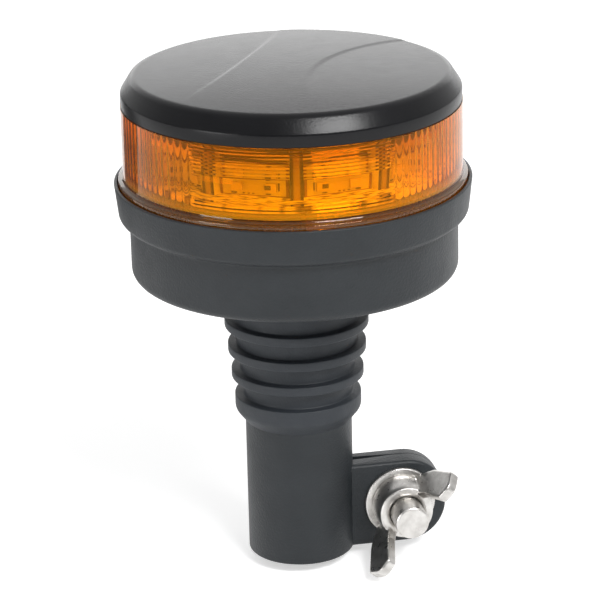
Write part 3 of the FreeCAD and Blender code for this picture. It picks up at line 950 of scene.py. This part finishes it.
# Share of the full depth, and which parts of each pitch stand out by it
crest_shares = ((0.5, (1, 3)), (1.0, (2,)))
view_turn = -11.0
window_half_angle = 36.0
window_margin = 0.1
lens_crease = 30
amber_dark = (0.93, 0.43, 0.003, 1.0)
amber_light = (0.95, 0.51, 0.006, 1.0)
# Deeper amber of the painted shade on the lens
painted_shade_dark = (0.88, 0.29, 0.003, 1.0)
painted_shade_light = (0.92, 0.36, 0.006, 1.0)
amber_drift = 40
side_shade_from = 34.0
side_shade_to = 62.0
under_cap_from = 150.0
under_cap_to = 157.0
amber_gloss = (1.0, 0.50, 0.06, 1.0)
amber_shade = (1.0, 0.72, 0.22, 1.0)
foot_gloss = (1.0, 0.97, 0.92, 1.0)
acrylic_index = 1.49
clear_share = 0.97
matt_band_share = 0.28
matt_band_top = 139.4
matt_band_low = 136.1
matt_edge_share = 0.03
matt_edge_from = 57.25
wall_from = foot_top + 1.4

lens_sides = int(360 / flute_pitch) * flute_parts
rib_lines = [(low + rib_pitch * step / rib_parts, step % rib_parts)
             for low, count in rib_zones for step in range(count * rib_parts + 1)]
lens = turned_piece("amber_lens_ring", [
    (lens_inner, foot_bottom), (foot_radius, foot_bottom), (foot_radius, foot_top)]
    + [(radius, foot_top + rise) for radius, rise in foot_sweep]
    + [(lens_radius, lens_top), (lens_inner, lens_top)]
    + [(lens_inner, line) for line, part in reversed(rib_lines)], lens_sides)
lens.rotation_euler = (0, 0, math.radians(view_turn - window_half_angle))
settle(lens)


def from_window_middle(place):
    """Degrees round the lens from the middle of the nearer window."""
    turned = math.degrees(math.atan2(place.x, -place.y)) - view_turn
    return abs((turned + 90) % 180 - 90)


def raise_inside(wanted, depth):
    """In edit mode, draw chosen corners of the lens's inner face inwards by a depth."""
    def chosen(place):
        return abs(math.hypot(place.x, place.y) - lens_inner) < same_place and wanted(place)
    choose_corners(lens, chosen)
    shrink = 1 - depth / lens_inner
    bpy.ops.transform.resize(value=(shrink, shrink, 1), center_override=(0, 0, 0))


start_editing(lens)
for share, raised_parts in crest_shares:
    raised_lines = [line for line, part in rib_lines if part in raised_parts]

    def on_flute(place):
        """Whether a corner lies on such a part of a flute."""
        turned = math.degrees(math.atan2(place.y, place.x)) - view_turn - window_half_angle
        part = round(turned / flute_pitch * flute_parts) % flute_parts
        return part in raised_parts and from_window_middle(place) > window_half_angle

    def on_rib(place):
        """Whether a corner lies on such a part of a level rib."""
        level_with = any(abs(place.z - line) < same_place for line in raised_lines)
        return level_with and from_window_middle(place) < window_half_angle - window_margin

    raise_inside(on_flute, share * flute_depth)
    raise_inside(on_rib, share * rib_depth)
bpy.ops.object.mode_set(mode="OBJECT")
round_turned_edges(lens, [(foot_radius, foot_top, foot_round)])
smooth_shade(lens, lens_crease)

amber_lens, tree, shader, place = start_material("amber_lens")
shader.inputs["IOR"].default_value = acrylic_index
reach, turn, height = about_axis(tree, place)
on_wall = reckon(tree, "GREATER_THAN", height, wall_from * mm)
low_down = ramped(tree, height, matt_band_top * mm, matt_band_low * mm)
wall_matt = reckon(tree, "MULTIPLY", on_wall, reckon(tree, "MULTIPLY", low_down, matt_band_share))
on_edge = reckon(tree, "GREATER_THAN", reach, matt_edge_from * mm)
matt = reckon(tree, "MAXIMUM", reckon(tree, "MULTIPLY", on_edge, matt_edge_share), wall_matt)
tree.links.new(reckon(tree, "SUBTRACT", clear_share, matt), shader.inputs["Transmission Weight"])
tree.links.new(tone(tree, on_wall, foot_gloss, amber_gloss, 0.0, 1.0), shader.inputs["Specular Tint"])
window_amber = tone(tree, speckle(tree, place, amber_drift), amber_dark, amber_light)
# Painted shade: the lens turns a deeper amber on its sides, under the cap and just above the foot
painted_shade_amber = tone(tree, speckle(tree, place, amber_drift), painted_shade_dark, painted_shade_light)
from_window = from_nearest(tree, turn, view_turn - 90, 180)
side_shade = ramped(tree, from_window, math.radians(side_shade_from), math.radians(side_shade_to))
under_cap = ramped(tree, height, under_cap_from * mm, under_cap_to * mm)
painted_shade = reckon(tree, "MAXIMUM", side_shade, reckon(tree, "MAXIMUM", under_cap, low_down))
lay_surface(tree, shader, place, blended(tree, painted_shade, window_amber, painted_shade_amber), rough=(0.02, 0.05),
            patches=300, grain=120, depth=0.05, strength=0.15, detail=3.0)
let_through = tree.nodes.new("ShaderNodeBsdfTransparent")
let_through.inputs["Color"].default_value = amber_shade
either = tree.nodes.new("ShaderNodeMixShader")
ray = tree.nodes.new("ShaderNodeLightPath").outputs
tree.links.new(ray["Is Shadow Ray"], either.inputs["Fac"])
tree.links.new(shader.outputs["BSDF"], either.inputs[1])
tree.links.new(let_through.outputs["BSDF"], either.inputs[2])
tree.links.new(either.outputs["Shader"], tree.nodes["Material Output"].inputs["Surface"])
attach(lens, "head")
dress(lens, amber_lens, "amber_lens", "lens")

# Top cap: black moulded lid with a sloping shoulder and a domed top; its spigot is pressed into the lens.
# A swept panel stands a little proud of the top at the back, between two sunk sides, and fades to the front.
cap_radius = 55.6
cap_foot_round = 0.3
spigot_radius = 52.55
spigot_inner = 50.25
spigot_bottom = 157.8
shoulder_bottom = 163.2
shoulder_top = 168.8
shoulder_round = 0.4
crown_radius = 52.0
crown_rise = 1.5
crown_edge = 3.0
crown_edge_steps = 8
crown_rings = 105
roof_bottom = 166.2
cap_sides = 320
# Three places on each side edge of the panel
panel_left = ((-32.0, -30.0), (-16.6, 7.0), (-4.4, 50.5))
panel_right = ((7.6, -30.0), (13.3, 7.2), (46.0, 36.5))
panel_front = -42.0
panel_back = 8.0
panel_step = 0.2
panel_lowest = shoulder_top - 0.6
left_edge_width = 1.3
right_edge_width = 2.6
cap_dark = (0.0028, 0.0029, 0.0036, 1.0)
cap_light = (0.0050, 0.0051, 0.0062, 1.0)
cap_plastic = grained_plastic("cap_plastic", cap_dark, cap_light, rough=(0.25, 0.27),
                              grain=1500, depth=0.095, gloss=0.22)


def dome_height(radius):
    """Height of the cap's domed top at a distance from its axis."""
    return shoulder_top + crown_rise * (1 - (radius / crown_radius) ** 2)


down = Vector((cap_radius - crown_radius, shoulder_bottom - shoulder_top)).normalized()
inwards = Vector((-crown_radius, 2 * crown_rise)).normalized()
half_corner = down.angle(inwards) / 2
to_centre = (down + inwards).normalized() * crown_edge / math.sin(half_corner)
rounding_centre = Vector((crown_radius, shoulder_top)) + to_centre
first_angle = math.atan2(-down.x, down.y) + math.pi
last_angle = math.atan2(-inwards.x, inwards.y)
crown = []
for step in range(crown_edge_steps + 1):
    angle = first_angle + (last_angle - first_angle) * step / crown_edge_steps
    crown.append((rounding_centre.x + crown_edge * math.cos(angle),
                  rounding_centre.y + crown_edge * math.sin(angle)))
dome_radius = crown[-1][0]
for ring in range(1, crown_rings):
    radius = dome_radius * (1 - ring / crown_rings)
    crown.append((radius, dome_height(radius)))
cap = turned_piece("top_cap_lid", [
    (0, roof_bottom), (spigot_inner, roof_bottom), (spigot_inner, spigot_bottom),
    (spigot_radius, spigot_bottom), (spigot_radius, lens_top), (cap_radius, lens_top),
    (cap_radius, shoulder_bottom)] + crown + [(0, dome_height(0))], cap_sides)
round_turned_edges(cap, [
    (cap_radius, lens_top, cap_foot_round), (cap_radius, shoulder_bottom, shoulder_round)])


def circle_through(corners):
    """Middle and radius of the circle through three places."""
    (ax, ay), (bx, by), (cx, cy) = corners
    four_areas = 2 * (ax * (by - cy) + bx * (cy - ay) + cx * (ay - by))
    a, b, c = ax * ax + ay * ay, bx * bx + by * by, cx * cx + cy * cy
    middle = Vector(((a * (by - cy) + b * (cy - ay) + c * (ay - by)) / four_areas,
                     (a * (cx - bx) + b * (ax - cx) + c * (bx - ax)) / four_areas))
    return middle, (middle - Vector(corners[0])).length


def eased(share):
    """0 to 1 with soft ends."""
    share = min(max(share, 0.0), 1.0)
    return share * share * (3 - 2 * share)


left_middle, left_radius = circle_through(panel_left)
right_middle, right_radius = circle_through(panel_right)
left_side = 1 if left_middle.x > 0 else -1
right_side = 1 if right_middle.x > 0 else -1
turned_back = Matrix.Rotation(-math.radians(view_turn), 2)
sunk = cap.vertex_groups.new(name="sunk")
for corner in cap.data.vertices:
    corner_place = corner.co / mm
    if corner_place.z < panel_lowest:
        continue
    there = turned_back @ corner_place.xy
    past_left = left_side * (left_radius - (there - left_middle).length)
    before_right = right_side * ((there - right_middle).length - right_radius)
    weight = 1 - eased(past_left / left_edge_width) * eased(before_right / right_edge_width)
    weight *= eased((there.y - panel_front) / (panel_back - panel_front))
    if weight > 0:
        sunk.add([corner.index], weight, "REPLACE")
apply_change(cap, "DISPLACE", direction="Z", strength=-panel_step * mm, mid_level=0.0, vertex_group="sunk")
smooth_shade(cap)
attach(cap, "head")
dress(cap, cap_plastic, "black_plastic", "top_cap")

# Studio: a pale floor just under the wing nut's lower tip, which takes the shadow, and three soft lamps.
# Floor and world are white to the camera; gloss and glass show a room that is grey in front.
# Lengths in the room, from here on, are in metres.
floor_height = -0.0036
floor_size = 8.0
floor_colour = (0.80, 0.80, 0.80, 1.0)
floor_rough = 0.9
floor_glow = 0.5
pure_white = (1.0, 1.0, 1.0, 1.0)
world_light = 0.55
bright_side = (0.30, 0.60, 0.74)
dark_side_end = -0.6
dark_side_level = 0.14
lamp_aim = Vector((0, 0, 0.09))


def seen_directly(tree, ray):
    """1 for rays from the camera, from gloss and through glass, and 0 for the light that falls on things."""
    in_mirror_or_glass = reckon(tree, "MAXIMUM", ray["Is Glossy Ray"], ray["Is Transmission Ray"])
    return reckon(tree, "MAXIMUM", ray["Is Camera Ray"], in_mirror_or_glass)


bpy.ops.object.select_all(action="DESELECT")
bpy.ops.mesh.primitive_plane_add(size=floor_size, location=(0, 0, floor_height))
floor = bpy.context.object
floor.name = "floor"
floor_paint, tree, shader, place = start_material("floor_paint")
shader.inputs["Base Color"].default_value = floor_colour
shader.inputs["Roughness"].default_value = floor_rough
shader.inputs["Emission Color"].default_value = pure_white
ray = tree.nodes.new("ShaderNodeLightPath").outputs
glow = reckon(tree, "MULTIPLY", seen_directly(tree, ray), floor_glow)
tree.links.new(glow, shader.inputs["Emission Strength"])
floor.data.materials.append(floor_paint)

world = bpy.data.worlds.new("studio")
bpy.context.scene.world = world
world.use_nodes = True
tree = world.node_tree
background = tree.nodes["Background"]
background.inputs["Color"].default_value = pure_white
ray = tree.nodes.new("ShaderNodeLightPath").outputs
direction = tree.nodes.new("ShaderNodeTexCoord").outputs["Generated"]
towards = tree.nodes.new("ShaderNodeVectorMath")
towards.operation = "DOT_PRODUCT"
towards.inputs[1].default_value = bright_side
tree.links.new(direction, towards.inputs[0])
room = ramped(tree, towards.outputs["Value"], dark_side_end, 1.0, dark_side_level)
strength = ramped(tree, seen_directly(tree, ray), 0.0, 1.0, world_light, room)
shown = reckon(tree, "MAXIMUM", strength, ray["Is Camera Ray"])
tree.links.new(shown, background.inputs["Strength"])


def soft_lamp(name, azimuth, elevation, distance, width, height, power):
    """A rectangular soft lamp that faces the middle of the object."""
    turn = math.radians(azimuth)
    tilt = math.radians(elevation)
    back = Vector((math.sin(turn) * math.cos(tilt), -math.cos(turn) * math.cos(tilt), math.sin(tilt)))
    data = bpy.data.lights.new(name, "AREA")
    data.shape = "RECTANGLE"
    data.size = width
    data.size_y = height
    data.energy = power
    lamp = bpy.data.objects.new(name, data)
    lamp.location = lamp_aim + back * distance
    lamp.rotation_euler = (-back).to_track_quat("-Z", "Y").to_euler()
    lamp.visible_camera = False
    bpy.context.scene.collection.objects.link(lamp)


soft_lamp("front_lamp", azimuth=23, elevation=44, distance=1.4, width=0.66, height=0.38, power=17.5)
soft_lamp("back_lamp", azimuth=168, elevation=12, distance=1.6, width=2.0, height=0.6, power=5)
soft_lamp("left_lamp", azimuth=-62, elevation=8, distance=1.3, width=0.5, height=0.5, power=4.5)

# Grey card: stands behind the object on the left, as photographers set one, to darken that edge of the lens.
# Only gloss and glass show it, and it throws no shadow.
card_turn = math.radians(218)
card_distance = 0.30
card_width = 0.15
card_height = 0.165
card_dark = (0.09, 0.09, 0.09, 1.0)
card_light = (0.12, 0.12, 0.12, 1.0)
card_paper = grained_plastic("grey_card", card_dark, card_light, rough=(0.7, 0.8), grain=900, depth=0.02)
bpy.ops.object.select_all(action="DESELECT")
bpy.ops.mesh.primitive_plane_add(size=1)
card = bpy.context.object
card.scale = (card_width, card_height, 1)
card.rotation_euler = (math.pi / 2, 0, card_turn)
card.location = (card_distance * math.sin(card_turn), -card_distance * math.cos(card_turn),
                 floor_height + card_height / 2)
card = added("grey_card")
card.data.materials.append(card_paper)
card.visible_camera = False
card.visible_diffuse = False
card.visible_shadow = False

# Camera: a long lens in front of the object, a little to the left, that looks down on it.
# Its place and its turns were fitted to the object's round edges.
camera_distance = 0.8819
camera_height = 0.4130
camera_turn = math.radians(10.7)
camera_yaw = 0.0015
camera_pitch = 0.35193
camera_roll = -0.02316
camera_sensor = 36.0
camera_focus = 168.8
ahead = Vector((math.sin(camera_yaw) * math.cos(camera_pitch), math.cos(camera_yaw) * math.cos(camera_pitch),
                -math.sin(camera_pitch)))
level_right = Vector((math.cos(camera_yaw), -math.sin(camera_yaw), 0))
level_up = level_right.cross(ahead)
right = level_right * math.cos(camera_roll) + level_up * math.sin(camera_roll)
up = level_up * math.cos(camera_roll) - level_right * math.sin(camera_roll)
pose = Matrix((right, up, -ahead)).transposed().to_4x4()
pose.translation = (0, -camera_distance, camera_height)
camera_data = bpy.data.cameras.new("camera")
camera_data.sensor_width = camera_sensor
camera_data.lens = camera_focus
camera = bpy.data.objects.new("camera", camera_data)
camera.matrix_world = Matrix.Rotation(-camera_turn, 4, "Z") @ pose
bpy.context.scene.collection.objects.link(camera)
bpy.context.scene.camera = camera
bpy.context.scene.view_settings.view_transform = "Standard"
